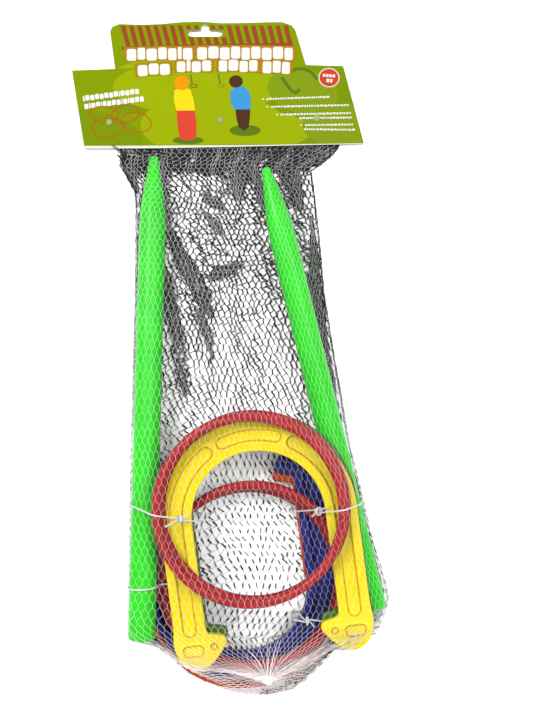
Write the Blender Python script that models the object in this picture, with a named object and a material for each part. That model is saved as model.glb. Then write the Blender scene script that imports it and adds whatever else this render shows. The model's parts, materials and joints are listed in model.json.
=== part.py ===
"""Ring toss set in a net bag under a folded header card: two stakes, four horseshoes, four rings.

The set lies flat on its back, the card toward +Y. Metres, +Z up. Sizes below are in millimetres
where a name ends in _MM, so that they read like a drawing; every mesh is built in metres.
"""
import math

import bmesh
import bpy
import numpy as np
from mathutils import Matrix, Vector, geometry

MM = 0.001
GAP_MM = 0.3
FRAME_SHIFT_MM = (-1.2, 0.4, 0.0)

# rings: plain round tube
RING_OUTER_MM = 127.0
RING_TUBE_MM = 6.2
RING_SEGMENTS = 44
RING_SIDES = 8
RINGS = {
    "ring_upper_top": (15.8, -98.2, 51.1),
    "ring_upper_under": (18.4, -96.8, 44.6),
    "ring_lower_top": (17.8, -144.9, 24.2),
    "ring_lower_under": (15.0, -147.7, 17.7),
}

# horseshoes: arch centre, turn of the legs, height of the underside
SHOE_OUTER_MM = 65.0
SHOE_INNER_MM = 44.0
SHOE_LEG_MM = 94.0
SHOE_THICK_MM = 6.0
SHOE_CHAMFER_MM = 0.8
SHOE_POCKET_MM = 1.5
SHOES = {
    "horseshoe_yellow": (21.6, -104.3, 35.2, 7.5),
    "horseshoe_green": (22.1, -100.1, 28.9, 7.5),
    "horseshoe_blue": (10.6, -154.3, 8.3, 187.3),
    "horseshoe_red": (9.9, -160.8, 2.0, 187.3),
}

# stakes: tip and rounded end of the axis
STAKE_RADIUS_MM = 9.0
STAKE_TIP_RADIUS_MM = 3.1
STAKE_TAPER_MM = 41.0
STAKE_SEGMENTS = 28
STAKES = {
    "stake_left": ((-49.4, 137.3, 13.0), (-55.6, -186.5, 36.0)),
    "stake_right": ((26.1, 129.2, 19.4), (99.2, -170.0, 19.4)),
}

# header card: one folded sheet, fold along the top edge
CARD_SHEET_MM = 0.5
CARD_BACK_Z_MM = 1.2
CARD_FRONT_Z_MM = 3.6
CARD_FOLD_MM = 2.4
HINGE_MM = (0.0, 145.3, 2.65)
CARD_OUTLINE_MM = [
    (-98.7, 144.1), (-50.0, 144.4), (0.0, 145.3), (50.0, 146.5), (93.8, 147.5),
    (79.4, 201.1), (54.0, 201.8), (47.1, 224.5), (44.3, 229.0), (37.5, 231.4),
    (22.0, 231.1), (8.6, 230.7), (-5.0, 230.6), (-18.9, 231.7), (-32.0, 231.3), (-46.4, 229.9),
    (-60.0, 229.5), (-74.6, 230.0), (-79.8, 227.6), (-80.8, 224.5), (-77.4, 199.1), (-107.0, 198.0),
]
SLOT_BAR_MM = (-27.2, -3.5, 221.1, 225.4)
SLOT_STEM_MM = (-18.2, -12.8, 227.9)
RIVETS_MM = {"rivet_left": (-81.2, 162.2), "rivet_middle": (-5.1, 163.6), "rivet_right": (61.4, 165.0)}
RIVET_HEAD_MM = 4.6
RIVET_SHANK_MM = 2.0
RIVET_HOLE_MM = 2.8
RIVET_SIDES = 14
COLLAR_MM = [(-79.4, 145.9), (-40.0, 146.0), (0.0, 146.6), (40.0, 147.6), (75.3, 148.4), (71.5, 171.0),
             (-5.0, 169.6), (-84.5, 168.2)]
COLLAR_Z_MM = (2.1, 3.2)

# net bag: side edges as (y, x), from the card end down to the bottom
NET_LEFT_MM = [(142.0, -74.0), (136.2, -71.0), (130.7, -72.6), (115.5, -63.4), (104.0, -62.4), (38.8, -63.2),
               (-50.0, -66.8), (-93.4, -67.8), (-160.0, -67.4), (-190.5, -67.2), (-196.0, -58.0),
               (-203.0, -47.0), (-207.5, -40.5), (-212.0, -33.5), (-216.5, -27.5), (-222.5, -15.0),
               (-229.5, 2.0), (-232.0, 14.0)]
NET_RIGHT_MM = [(145.5, 73.0), (137.0, 68.4), (131.5, 60.8), (127.2, 55.3), (106.7, 59.6), (75.2, 62.9),
                (46.2, 65.5), (-54.9, 83.0), (-98.0, 93.4), (-122.3, 99.2), (-156.0, 107.4), (-164.0, 109.0),
                (-177.0, 104.5), (-193.0, 96.5), (-197.5, 72.0), (-214.5, 61.0), (-229.5, 44.5),
                (-232.0, 30.0)]
NET_TOP_MM = 142.0
NET_BOTTOM_MM = -232.0
NET_ROWS = 38
NET_COLUMNS = 18
NET_STEP_MM = 2.5
NET_SKIN_MM = 0.5
NET_RIM_Z_MM = 0.9
NET_FLOOR_MM = 3.0
NET_CLEAR_MM = 2.0
NET_SLACK_MM = 5.5
NET_PASSES = 3000
KNOT_MM = (27.8, -211.5)

# ties: twisted string held all the way round
TIE_MM = 1.1
TIE_SIDES = 6


def clear_scene():
    for obj in list(bpy.data.objects):
        bpy.data.objects.remove(obj, do_unlink=True)


def material(name, colour, roughness):
    mat = bpy.data.materials.new(name)
    mat.use_nodes = True
    shader = mat.node_tree.nodes["Principled BSDF"]
    shader.inputs["Base Color"].default_value = (*colour, 1.0)
    shader.inputs["Roughness"].default_value = roughness
    return mat


def finish_object(name, bm, mat, origin_mm=(0.0, 0.0, 0.0)):
    """The bmesh holds millimetres in the shared frame; the object gets its origin at origin_mm."""
    origin = Vector(origin_mm)
    bmesh.ops.transform(bm, matrix=Matrix.Scale(MM, 4) @ Matrix.Translation(-origin), verts=bm.verts)
    bmesh.ops.recalc_face_normals(bm, faces=bm.faces)
    mesh = bpy.data.meshes.new(name)
    bm.to_mesh(mesh)
    bm.free()
    mesh.materials.append(mat)
    obj = bpy.data.objects.new(name, mesh)
    obj.location = (origin + Vector(FRAME_SHIFT_MM)) * MM
    bpy.context.collection.objects.link(obj)
    return obj


def add_loop(bm, points, z):
    return [bm.verts.new((x, y, z)) for x, y in points]


def bridge(bm, low, high):
    count = len(low)
    for i in range(count):
        j = (i + 1) % count
        bm.faces.new((low[i], low[j], high[j], high[i]))


def cap(bm, loops):
    """Fill the outer loop less the inner ones, all in one plane."""
    verts = [v for loop in loops for v in loop]
    for a, b, c in geometry.tessellate_polygon([[v.co for v in loop] for loop in loops]):
        if len({a, b, c}) == 3:
            bm.faces.new((verts[a], verts[b], verts[c]))


def inset(points, distance):
    """Move a counter-clockwise loop inward by distance."""
    result = []
    count = len(points)
    for i in range(count):
        before = Vector(points[i]) - Vector(points[i - 1])
        after = Vector(points[(i + 1) % count]) - Vector(points[i])
        before.normalize()
        after.normalize()
        normal = Vector((-before.y - after.y, before.x + after.x))
        normal.normalize()
        spread = max(0.5, normal.dot(Vector((-before.y, before.x))))
        result.append(tuple(Vector(points[i]) + normal * (distance / spread)))
    return result


def arc(radius, start, end, steps, centre=(0.0, 0.0)):
    """Points on a circle between two angles in degrees."""
    angles = np.radians(np.linspace(start, end, steps + 1))
    return [(centre[0] + radius * math.cos(a), centre[1] + radius * math.sin(a)) for a in angles]


def mirrored(points):
    return [(-x, y) for x, y in reversed(points)]


# ---------------------------------------------------------------- rings

def build_ring(name, centre, mat):
    major = (RING_OUTER_MM - RING_TUBE_MM) / 2.0
    bm = bmesh.new()
    sections = []
    for i in range(RING_SEGMENTS):
        turn = 2.0 * math.pi * i / RING_SEGMENTS
        section = []
        for k in range(RING_SIDES):
            around = 2.0 * math.pi * k / RING_SIDES
            radius = major + RING_TUBE_MM / 2.0 * math.cos(around)
            height = RING_TUBE_MM / 2.0 * math.sin(around)
            section.append(bm.verts.new((centre[0] + radius * math.cos(turn),
                                         centre[1] + radius * math.sin(turn), centre[2] + height)))
        sections.append(section)
    for i in range(RING_SEGMENTS):
        bridge(bm, sections[i], sections[(i + 1) % RING_SEGMENTS])
    return finish_object(name, bm, mat, centre)


# ---------------------------------------------------------------- horseshoes

def shoe_right_foot():
    """Right leg from the outer side of the shoulder round the foot to the inner side."""
    outer = SHOE_OUTER_MM
    inner = SHOE_INNER_MM
    return [
        (outer, -20.0), (outer, -45.0), (outer, -66.0), (outer + 0.9, -72.0), (outer + 1.0, -78.0),
        (outer - 0.5, -84.0), (outer - 3.5, -88.8), (outer - 8.0, -92.3), (outer - 13.0, -SHOE_LEG_MM),
        (outer - 18.0, -93.5), (inner - 1.0, -91.4), (inner - 6.0, -86.8), (inner - 10.2, -81.8),
        (inner - 12.6, -78.4), (inner - 12.9, -75.6), (inner - 11.4, -73.3), (inner - 8.5, -72.3),
        (inner - 3.0, -71.4), (inner - 0.8, -70.4), (inner, -68.0), (inner, -45.0), (inner, -20.0),
    ]


def shoe_outline():
    foot = shoe_right_foot()
    outline = arc(SHOE_OUTER_MM, 180.0, 0.0, 26)
    outline += foot
    outline += arc(SHOE_INNER_MM, 0.0, 180.0, 22)
    outline += mirrored(foot)
    return list(reversed(outline))


def slot_loop(radius, width, start, end, steps):
    """A rounded slot bent along a circle, counter-clockwise."""
    half = width / 2.0
    loop = arc(radius + half, start, end, steps)
    last = arc(radius, end, end, 0)[0]
    first = arc(radius, start, start, 0)[0]
    loop += arc(half, end, end + 180.0, 6, last)[1:-1]
    loop += arc(radius - half, end, start, steps)
    loop += arc(half, start + 180.0, start + 360.0, 6, first)[1:-1]
    return loop


def leg_slot_loop():
    """The long pocket of the right side: round the shoulder, then down the leg."""
    radius = (SHOE_OUTER_MM + SHOE_INNER_MM) / 2.0
    half = 4.6
    high = 58.0
    low = -67.6
    loop = [(radius + half, low)]
    loop += arc(radius + half, 0.0, high, 9)
    loop += arc(half, high, high + 180.0, 6, arc(radius, high, high, 0)[0])[1:-1]
    loop += arc(radius - half, high, 0.0, 9)
    loop += [(radius - half, low)]
    loop += arc(half, 180.0, 360.0, 6, (radius, low))[1:-1]
    return loop


def shoe_pockets():
    right = [
        leg_slot_loop(),
        [(49.0, -85.6), (58.2, -85.6), (60.6, -83.4), (60.6, -79.8),
         (58.2, -77.6), (49.0, -77.6), (46.6, -79.8), (46.6, -83.4)],
        arc(2.5, 0.0, 360.0, 12, (39.9, -79.8))[:-1],
    ]
    pockets = [slot_loop(54.5, 8.0, 72.0, 108.0, 8)]
    pockets += right
    pockets += [mirrored(loop) for loop in right]
    return pockets


def build_shoe(name, x, y, z, turn, mat):
    outline = shoe_outline()
    bm = bmesh.new()
    narrow = inset(outline, SHOE_CHAMFER_MM)
    top = SHOE_THICK_MM
    loops = [add_loop(bm, narrow, 0.0), add_loop(bm, outline, SHOE_CHAMFER_MM),
             add_loop(bm, outline, top - SHOE_CHAMFER_MM), add_loop(bm, narrow, top)]
    for low, high in zip(loops, loops[1:]):
        bridge(bm, low, high)
    mouths = []
    for pocket in shoe_pockets():
        mouth = add_loop(bm, pocket, top)
        floor = add_loop(bm, inset(pocket, 0.4), top - SHOE_POCKET_MM)
        bridge(bm, mouth, floor)
        cap(bm, [floor])
        mouths.append(mouth)
    cap(bm, [loops[0]])
    cap(bm, [loops[-1]] + mouths)
    place = Matrix.Translation((x, y, z)) @ Matrix.Rotation(math.radians(turn), 4, "Z")
    bmesh.ops.transform(bm, matrix=place, verts=bm.verts)
    return finish_object(name, bm, mat, (x, y, z + SHOE_THICK_MM / 2.0))


# ---------------------------------------------------------------- stakes

def stake_profile(length):
    """Distance from the tip and radius there."""
    full = STAKE_RADIUS_MM
    return [(0.0, STAKE_TIP_RADIUS_MM - 1.4), (0.7, STAKE_TIP_RADIUS_MM - 0.4), (1.8, STAKE_TIP_RADIUS_MM),
            (STAKE_TAPER_MM * 0.5, (full + STAKE_TIP_RADIUS_MM) / 2.0 + 0.3), (STAKE_TAPER_MM, full - 0.25),
            (STAKE_TAPER_MM + 16.0, full), (length * 0.5, full), (length - 3.2, full),
            (length - 1.4, full - 0.8), (length - 0.4, full - 2.2), (length, full - 4.2)]


def build_stake(name, tip, end, mat):
    tip = Vector(tip)
    end = Vector(end)
    length = (end - tip).length
    turn = (end - tip).to_track_quat("Z", "Y").to_matrix().to_4x4()
    bm = bmesh.new()
    sections = []
    for along, radius in stake_profile(length):
        section = []
        for k in range(STAKE_SEGMENTS):
            angle = 2.0 * math.pi * k / STAKE_SEGMENTS
            section.append(bm.verts.new((radius * math.cos(angle), radius * math.sin(angle), along)))
        sections.append(section)
    for low, high in zip(sections, sections[1:]):
        bridge(bm, low, high)
    bm.faces.new(sections[0])
    bm.faces.new(sections[-1])
    bmesh.ops.transform(bm, matrix=Matrix.Translation(tip) @ turn, verts=bm.verts)
    return finish_object(name, bm, mat, (tip + end) / 2.0)


# ---------------------------------------------------------------- header card and rivets

def prism(bm, points, low, high):
    bottom = add_loop(bm, points, low)
    top = add_loop(bm, points, high)
    bridge(bm, bottom, top)
    cap(bm, [bottom])
    cap(bm, [top])


def box_loop(x0, x1, y0, y1):
    return [(x0, y0), (x1, y0), (x1, y1), (x0, y1)]


def slot_outline():
    """Hanging slot: a level bar with a rounded stem above its middle."""
    x0, x1, y0, y1 = SLOT_BAR_MM
    s0, s1, s_top = SLOT_STEM_MM
    half = (y1 - y0) / 2.0
    loop = arc(half, 90.0, 270.0, 6, (x0 + half, y0 + half))
    loop += arc(half, -90.0, 90.0, 6, (x1 - half, y0 + half))
    loop += [(s1, y1)]
    loop += arc((s1 - s0) / 2.0, 0.0, 180.0, 8, ((s0 + s1) / 2.0, s_top - 1.0))
    loop += [(s0, y1)]
    return loop


def card_holes():
    holes = [slot_outline()]
    for x, y in RIVETS_MM.values():
        holes.append(arc(RIVET_HOLE_MM / 2.0, 0.0, 360.0, RIVET_SIDES, (x, y))[:-1])
    return holes


def plate_with_holes(bm, outline, holes, low, high):
    bottoms = [add_loop(bm, outline, low)]
    tops = [add_loop(bm, outline, high)]
    for hole in holes:
        bottoms.append(add_loop(bm, hole, low))
        tops.append(add_loop(bm, hole, high))
    for bottom, top in zip(bottoms, tops):
        bridge(bm, bottom, top)
    cap(bm, bottoms)
    cap(bm, tops)


def build_card(mat):
    """Two equal leaves joined along the fold at the top."""
    bm = bmesh.new()
    low = CARD_BACK_Z_MM
    high = CARD_FRONT_Z_MM + CARD_SHEET_MM
    plate_with_holes(bm, CARD_OUTLINE_MM, card_holes(), low, high)
    card = finish_object("header_card", bm, mat, HINGE_MM)
    cutter_bm = bmesh.new()
    fold_y = max(y for _, y in CARD_OUTLINE_MM) - CARD_FOLD_MM
    prism(cutter_bm, box_loop(-150.0, 150.0, 120.0, fold_y), low + CARD_SHEET_MM, CARD_FRONT_Z_MM)
    cutter = finish_object("card_gap_cutter", cutter_bm, mat)
    cutter.hide_render = True
    cutter.display_type = "WIRE"
    cut = card.modifiers.new("leaf gap", "BOOLEAN")
    cut.operation = "DIFFERENCE"
    cut.solver = "EXACT"
    cut.object = cutter
    return card


def build_collar(mat):
    bm = bmesh.new()
    holes = [arc(RIVET_HOLE_MM / 2.0, 0.0, 360.0, RIVET_SIDES, place)[:-1] for place in RIVETS_MM.values()]
    plate_with_holes(bm, COLLAR_MM, holes, *COLLAR_Z_MM)
    return finish_object("net_collar", bm, mat, HINGE_MM)


def build_rivet(name, x, y, mat):
    """A snap rivet: low domed head on both sides of the card."""
    head = RIVET_HEAD_MM / 2.0
    shank = RIVET_SHANK_MM / 2.0
    profile = [(0.25, head - 0.5), (0.4, head), (0.95, head), (0.95, shank),
               (4.35, shank), (4.35, head), (4.8, head - 0.2), (5.2, head - 1.0)]
    bm = bmesh.new()
    sections = [add_loop(bm, arc(radius, 0.0, 360.0, RIVET_SIDES, (x, y))[:-1], z) for z, radius in profile]
    for low, high in zip(sections, sections[1:]):
        bridge(bm, low, high)
    bm.faces.new(sections[0])
    bm.faces.new(sections[-1])
    return finish_object(name, bm, mat, (x, y, HINGE_MM[2]))


# ---------------------------------------------------------------- net bag

def edge_x(table, y):
    ys = [row[0] for row in reversed(table)]
    xs = [row[1] for row in reversed(table)]
    return float(np.interp(y, ys, xs))


def top_of_stake(x, y, tip, end):
    """Upper surface of a stake over the grid, or zero beside it."""
    tip = np.array(tip)
    axis = np.array(end) - tip
    along = ((x - tip[0]) * axis[0] + (y - tip[1]) * axis[1]) / (axis[0] ** 2 + axis[1] ** 2)
    along = np.clip(along, 0.0, 1.0)
    near = np.hypot(x - tip[0] - along * axis[0], y - tip[1] - along * axis[1])
    height = tip[2] + along * axis[2] + np.sqrt(np.maximum(STAKE_RADIUS_MM ** 2 - near ** 2, 0.0))
    return np.where(near < STAKE_RADIUS_MM, height, 0.0)


def top_of_ring(x, y, centre):
    away = np.hypot(x - centre[0], y - centre[1])
    outer = RING_OUTER_MM / 2.0
    return np.where((away < outer) & (away > outer - RING_TUBE_MM), centre[2] + RING_TUBE_MM / 2.0, 0.0)


def top_of_shoe(x, y, cx, cy, z, turn):
    c = math.cos(math.radians(turn))
    s = math.sin(math.radians(turn))
    u = np.abs(c * (x - cx) + s * (y - cy))
    v = -s * (x - cx) + c * (y - cy)
    away = np.hypot(u, v)
    arch = (v > 0.0) & (away < SHOE_OUTER_MM) & (away > SHOE_INNER_MM)
    leg = (v <= 0.0) & (v > -SHOE_LEG_MM) & (u > SHOE_INNER_MM) & (u < SHOE_OUTER_MM + 1.0)
    hook = (v < -70.0) & (v > -SHOE_LEG_MM) & (u > SHOE_INNER_MM - 13.0) & (u < SHOE_INNER_MM + 1.0)
    return np.where(arch | leg | hook, z + SHOE_THICK_MM, 0.0)


def net_surface():
    """Height of a slack net laid over everything in the bag, on an even grid."""
    xs = np.arange(-80.0, 122.5, NET_STEP_MM)
    ys = np.arange(-245.0, 160.0, NET_STEP_MM)
    x, y = np.meshgrid(xs, ys)
    solid = np.zeros_like(x)
    for tip, end in STAKES.values():
        solid = np.maximum(solid, top_of_stake(x, y, tip, end))
    for centre in RINGS.values():
        solid = np.maximum(solid, top_of_ring(x, y, centre))
    for cx, cy, z, turn in SHOES.values():
        solid = np.maximum(solid, top_of_shoe(x, y, cx, cy, z, turn))
    grown = solid.copy()
    reach = int(math.ceil(NET_SLACK_MM / NET_STEP_MM))
    for dx in range(-reach, reach + 1):
        for dy in range(-reach, reach + 1):
            if math.hypot(dx, dy) * NET_STEP_MM <= NET_SLACK_MM:
                grown = np.maximum(grown, np.roll(np.roll(solid, dx, axis=1), dy, axis=0))
    grown = np.where(grown > 0.0, grown + NET_CLEAR_MM, 0.0)
    left = np.array([edge_x(NET_LEFT_MM, v) for v in ys])[:, None]
    right = np.array([edge_x(NET_RIGHT_MM, v) for v in ys])[:, None]
    inside = (x > left) & (x < right) & (y > NET_BOTTOM_MM) & (y < NET_TOP_MM)
    height = np.maximum(grown, NET_FLOOR_MM)
    for _ in range(NET_PASSES):
        mean = (np.roll(height, 1, 0) + np.roll(height, -1, 0) + np.roll(height, 1, 1)
                + np.roll(height, -1, 1)) / 4.0
        height = np.where(inside, np.maximum(mean, grown), np.maximum(grown, NET_FLOOR_MM))
    return xs, ys, height


def sample(surface, x, y):
    xs, ys, height = surface
    column = min(max((x - xs[0]) / NET_STEP_MM, 0.0), len(xs) - 1.001)
    row = min(max((y - ys[0]) / NET_STEP_MM, 0.0), len(ys) - 1.001)
    i = int(row)
    j = int(column)
    return float(height[i:i + 2, j:j + 2].max())


def net_grid(surface):
    """Rows of points from the card end to the bottom of the bag."""
    rows = []
    for i in range(NET_ROWS + 1):
        y = NET_TOP_MM + (NET_BOTTOM_MM - NET_TOP_MM) * i / NET_ROWS
        left = edge_x(NET_LEFT_MM, y)
        right = edge_x(NET_RIGHT_MM, y)
        row = []
        for j in range(NET_COLUMNS + 1):
            share = j / NET_COLUMNS
            share = 0.5 - 0.5 * math.cos(math.pi * share) * (0.55 + 0.45 * abs(math.cos(math.pi * share)))
            x = left + (right - left) * share
            row.append((x, y, sample(surface, x, y)))
        rows.append(row)
    return rows


def rim_indices(rows, columns):
    rim = [(0, j) for j in range(columns)]
    rim += [(i, columns - 1) for i in range(1, rows)]
    rim += [(rows - 1, j) for j in range(columns - 2, -1, -1)]
    rim += [(i, 0) for i in range(rows - 2, 0, -1)]
    return rim


def net_skin(bm, grid):
    """One open sheet: the draped top and its straight sides. Returns its vertices and free edge."""
    verts = [[bm.verts.new(p) for p in row] for row in grid]
    for i in range(len(grid) - 1):
        for j in range(len(grid[0]) - 1):
            bm.faces.new((verts[i][j], verts[i][j + 1], verts[i + 1][j + 1], verts[i + 1][j]))
    rim = [verts[i][j] for i, j in rim_indices(len(grid), len(grid[0]))]
    hem = [bm.verts.new((v.co.x, v.co.y, NET_RIM_Z_MM)) for v in rim]
    bridge(bm, rim, hem)
    return hem


def build_net_front(surface, mat):
    bm = bmesh.new()
    hem = net_skin(bm, net_grid(surface))
    bmesh.ops.recalc_face_normals(bm, faces=bm.faces)
    bm.normal_update()
    inner = list(bm.verts)
    faces = list(bm.faces)
    up = sum(f.normal.z for f in faces)
    side = 1.0 if up > 0.0 else -1.0
    outer = {}
    for v in inner:
        push = v.normal * side
        if v in hem:
            push.z = 0.0
            push.normalize()
        outer[v] = bm.verts.new(v.co + push * NET_SKIN_MM)
    for face in faces:
        bm.faces.new([outer[v] for v in face.verts])
    bridge(bm, hem, [outer[v] for v in hem])
    return finish_object("net_front", bm, mat)


def build_net_back(mat):
    left = [(x, y) for y, x in NET_LEFT_MM]
    right = [(x, y) for y, x in reversed(NET_RIGHT_MM)]
    outline = left + right
    bm = bmesh.new()
    prism(bm, inset(outline, -0.3), 0.0, NET_SKIN_MM)
    return finish_object("net_back", bm, mat)


def build_bag_knot(surface, mat):
    x, y = KNOT_MM
    bm = bmesh.new()
    bmesh.ops.create_icosphere(bm, subdivisions=2, radius=3.4)
    height = max(sample(surface, x + dx, y + dy) for dx in (-5.0, 0.0, 5.0) for dy in (-5.0, 0.0, 5.0))
    place = Matrix.Translation((x, y, height + 4.6)) @ Matrix.Diagonal((1.3, 0.9, 0.85, 1.0))
    bmesh.ops.transform(bm, matrix=place, verts=bm.verts)
    return finish_object("bag_knot", bm, mat)


# ---------------------------------------------------------------- ties

def hull(points):
    """Convex hull, counter-clockwise."""
    points = sorted(set(points))

    def half(sequence):
        chain = []
        for p in sequence:
            while len(chain) > 1 and ((chain[-1][0] - chain[-2][0]) * (p[1] - chain[-2][1])
                                      - (chain[-1][1] - chain[-2][1]) * (p[0] - chain[-2][0])) <= 0.0:
                chain.pop()
            chain.append(p)
        return chain[:-1]

    return half(points) + half(list(reversed(points)))


def taut_loop(discs):
    """The string's centre line in the XZ plane round a bundle of discs (x, z, radius)."""
    reach = TIE_MM / 2.0 + GAP_MM + 0.1
    points = []
    for x, z, radius in discs:
        points += [(round(px, 3), round(pz, 3)) for px, pz in arc(radius + reach, 0.0, 345.0, 23, (x, z))]
    return hull(points)


def open_at(loop, x, z):
    """Start the loop at the point of it nearest (x, z), splitting the edge there."""
    best = None
    for i in range(len(loop)):
        a = Vector(loop[i])
        b = Vector(loop[(i + 1) % len(loop)])
        share = max(0.0, min(1.0, (Vector((x, z)) - a).dot(b - a) / max((b - a).length_squared, 1e-9)))
        point = a + (b - a) * share
        distance = (point - Vector((x, z))).length
        if best is None or distance < best[0]:
            best = (distance, i, tuple(point))
    _, i, point = best
    ordered = loop[i + 1:] + loop[:i + 1]
    ordered = [p for p in ordered if math.dist(p, point) > 3.2]
    return point, ordered


def tube(bm, path, radius, sides):
    """A round bar swept along a path, closed at both ends."""
    points = [Vector(p) for p in path]
    sections = []
    normal = Vector((0.0, 1.0, 0.0))
    for i, point in enumerate(points):
        ahead = points[min(i + 1, len(points) - 1)] - point
        behind = point - points[max(i - 1, 0)]
        tangent = ahead.normalized() + behind.normalized()
        tangent.normalize()
        normal = normal - tangent * normal.dot(tangent)
        normal.normalize()
        across = tangent.cross(normal)
        section = []
        for k in range(sides):
            angle = 2.0 * math.pi * (k + 0.5) / sides
            away = normal * math.cos(angle) + across * math.sin(angle)
            section.append(bm.verts.new(point + away * radius))
        sections.append(section)
    for low, high in zip(sections, sections[1:]):
        bridge(bm, low, high)
    bm.faces.new(sections[0])
    bm.faces.new(sections[-1])


def tie_y(x, ends):
    (x0, y0), (x1, y1) = ends
    return y0 + (y1 - y0) * min(max((x - x0) / (x1 - x0), -0.2), 1.2)


def build_tie(name, loop, knot_at, ends, tail, mat):
    """A string once round the loop, its two ends side by side through the knot."""
    (kx, kz), rest = open_at(loop, *knot_at)
    before = Vector((rest[-1][0] - kx, 0.0, rest[-1][1] - kz)).normalized()
    after = Vector((rest[0][0] - kx, 0.0, rest[0][1] - kz)).normalized()
    knot = Vector((kx, tie_y(kx, ends), kz))
    lift = Vector((0.0, 0.0, tail[2]))
    apart = Vector((0.0, 0.72, 0.0))
    start = [knot + apart + before * tail[0] + Vector((0.0, 3.4, 0.0)) + lift, knot + apart + before * 1.9,
             knot + apart + after * 1.9]
    around = [Vector((x, tie_y(x, ends), z)) for x, z in rest]
    finish = [knot - apart + before * 1.9, knot - apart + after * 1.9,
              knot - apart + after * tail[1] + Vector((0.0, -3.4, 0.0)) + lift]
    bm = bmesh.new()
    tube(bm, start + around + finish, TIE_MM / 2.0, TIE_SIDES)
    tie = finish_object(name, bm, mat)
    build_tie_knot(name + "_knot", knot, (after - before).normalized(), mat)
    return tie


def build_tie_knot(name, centre, direction, mat):
    """The wrap of the knot: a short collar round both strands."""
    turn = direction.to_track_quat("Z", "Y").to_matrix().to_4x4()
    bm = bmesh.new()
    sections = []
    segments = 12
    for i in range(segments):
        angle = 2.0 * math.pi * i / segments
        section = []
        for k in range(TIE_SIDES):
            around = 2.0 * math.pi * k / TIE_SIDES
            radius = 2.35 + 0.65 * math.cos(around)
            section.append(bm.verts.new((radius * math.cos(angle), radius * math.sin(angle),
                                         1.0 * math.sin(around))))
        sections.append(section)
    for i in range(segments):
        bridge(bm, sections[i], sections[(i + 1) % segments])
    bmesh.ops.transform(bm, matrix=Matrix.Translation(centre) @ turn, verts=bm.verts)
    return finish_object(name, bm, mat)


def on_stake(name, y):
    tip, end = STAKES[name]
    share = (y - tip[1]) / (end[1] - tip[1])
    return (tip[0] + (end[0] - tip[0]) * share, tip[2] + (end[2] - tip[2]) * share)


def build_ties(mat):
    left = on_stake("stake_left", -97.0)
    loop = taut_loop([(*left, 9.0), (-44.9, 51.1, 3.1), (-42.6, 44.6, 3.1), (-19.8, 40.9, 0.5),
                      (-64.5, 2.2, 0.2), (-63.6, 14.0, 0.2), (-18.9, 2.2, 0.2)])
    build_tie("tie_upper_left", loop, (-30.0, 47.0), ((-63.0, -97.0), (-21.0, -106.0)), (6.0, 10.0, 1.6), mat)
    right = on_stake("stake_right", -96.0)
    loop = taut_loop([(*right, 9.3), (76.2, 51.1, 3.2), (78.6, 44.6, 3.2), (65.0, 40.9, 0.5),
                      (88.0, 40.9, 0.5), (88.2, 29.2, 0.5), (61.3, 24.2, 4.6), (55.6, 17.7, 4.6),
                      (43.6, 2.2, 0.2), (43.6, 14.0, 0.3), (69.0, 2.2, 0.2)])
    build_tie("tie_upper_right", loop, (60.5, 39.0), ((47.0, -103.0), (91.0, -94.5)), (8.0, 7.0, 1.6), mat)
    x, z = on_stake("stake_left", -151.0)
    loop = arc(9.95, 205.0, -18.0, 18, (x, z))
    loop += [(-43.7, 28.6), (-42.4, 28.15), (-30.0, 28.1), (-28.4, 27.3), (-28.0, 25.5), (-28.0, 3.0),
             (-28.6, 1.5), (-30.0, 1.15), (-62.4, 1.15), (-64.0, 1.7), (-64.4, 3.0), (-64.4, 28.0)]
    build_tie("tie_lower_left", loop, (-28.0, 16.0), ((-64.0, -151.5), (-28.0, -149.5)), (5.0, 5.0, 0.0), mat)
    loop = [(46.0, 28.1), (78.5, 28.1), (80.2, 27.6), (80.8, 26.0), (80.8, 3.0), (80.2, 1.6), (78.5, 1.15),
            (46.0, 1.15), (44.4, 1.6), (43.8, 3.0), (43.8, 26.0), (44.4, 27.6)]
    build_tie("tie_lower_right", loop, (54.0, 28.1), ((45.0, -174.0), (80.0, -176.5)), (5.0, 5.0, 0.0), mat)


def main():
    clear_scene()
    red = material("red plastic", (0.75, 0.04, 0.04), 0.3)
    for name, centre in RINGS.items():
        build_ring(name, centre, red)
    colours = {"horseshoe_yellow": (0.95, 0.72, 0.0), "horseshoe_green": (0.08, 0.25, 0.02),
               "horseshoe_blue": (0.05, 0.09, 0.35), "horseshoe_red": (0.75, 0.10, 0.03)}
    for name, (x, y, z, turn) in SHOES.items():
        build_shoe(name, x, y, z, turn, material(name + " plastic", colours[name], 0.35))
    green = material("green plastic", (0.03, 0.70, 0.04), 0.35)
    for name, (tip, end) in STAKES.items():
        build_stake(name, tip, end, green)
    build_card(material("printed card", (0.25, 0.32, 0.02), 0.6))
    snap = material("snap plastic", (0.8, 0.8, 0.75), 0.3)
    for name, (x, y) in RIVETS_MM.items():
        build_rivet(name, x, y, snap)
    string = material("white string", (0.85, 0.85, 0.82), 0.7)
    build_collar(string)
    surface = net_surface()
    build_net_front(surface, string)
    build_net_back(material("dark net", (0.03, 0.03, 0.035), 0.7))
    build_bag_knot(surface, string)
    build_ties(string)


main()
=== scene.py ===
"""The looks of the ring toss set: drawn-together net, printed card, moulded plastic, string ties."""
import json
import math

import bmesh
import bpy
import numpy as np
from mathutils import Matrix, Vector, geometry
from mathutils.bvhtree import BVHTree


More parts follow.
